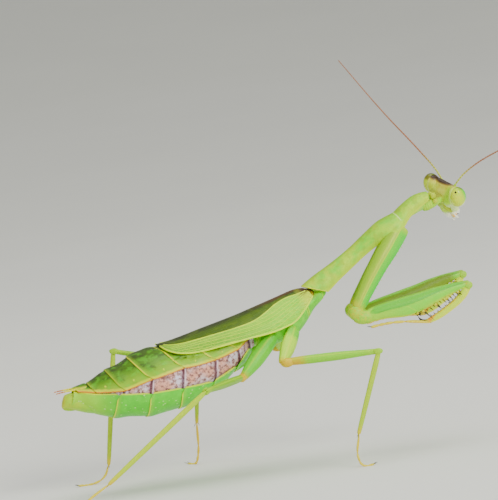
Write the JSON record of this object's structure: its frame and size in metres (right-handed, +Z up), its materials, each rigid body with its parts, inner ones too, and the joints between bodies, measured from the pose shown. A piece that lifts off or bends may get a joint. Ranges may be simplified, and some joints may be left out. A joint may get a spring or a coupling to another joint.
{
  "type": "praying mantis model",
  "caption": "Life-size model of a heavy-bodied, short-winged female mantis standing on its hind four legs, forelegs folded and head turned to its left.",
  "frame": {"origin": "on the floor, under the middle of the bounding box", "axes": "+X the way the body faces, +Y the animal's left, +Z up"},
  "size_m": [0.0744, 0.0388, 0.0536],
  "materials": {
    "pale_green_shell": "satin pale green shell",
    "green_belly": "satin leaf green plates",
    "leaf_green_wing": "leathery, finely veined",
    "cream_mouthparts": "soft cream",
    "yellow_green_eye": "glossy",
    "soft_yellow_joint": "soft folded skin",
    "brown_feeler": "dull, fine",
    "green_leg": "satin green shell",
    "cream_foot": "satin cream shell"
  },
  "bodies": {
    "root": {"abdomen": "green_belly", "antenna_left": "brown_feeler", "antenna_right": "brown_feeler", "cercus_left": "cream_foot", "cercus_right": "cream_foot", "eye_left": "yellow_green_eye", "eye_right": "yellow_green_eye", "fore_coxa_left": "green_leg", "fore_coxa_right": "green_leg", "fore_femur_left": "green_leg", "fore_femur_right": "green_leg", "fore_tarsus_left": "cream_foot", "fore_tarsus_right": "cream_foot", "fore_tibia_left": "cream_foot", "fore_tibia_right": "cream_foot", "forewing_left": "leaf_green_wing", "forewing_right": "leaf_green_wing", "head": "pale_green_shell", "hind_coxa_left": "green_leg", "hind_coxa_right": "green_leg", "hind_femur_left": "green_leg", "hind_femur_right": "green_leg", "hind_tarsus_left": "cream_foot", "hind_tarsus_right": "cream_foot", "hind_tibia_left": "green_leg", "hind_tibia_right": "green_leg", "mid_coxa_left": "green_leg", "mid_coxa_right": "green_leg", "mid_femur_left": "green_leg", "mid_femur_right": "green_leg", "mid_tarsus_left": "cream_foot", "mid_tarsus_right": "cream_foot", "mid_tibia_left": "green_leg", "mid_tibia_right": "green_leg", "mouthparts": "cream_mouthparts", "neck": "soft_yellow_joint", "prothorax": "pale_green_shell", "tail_plate": "green_belly", "thorax": "pale_green_shell"}
  },
  "joints": []
}
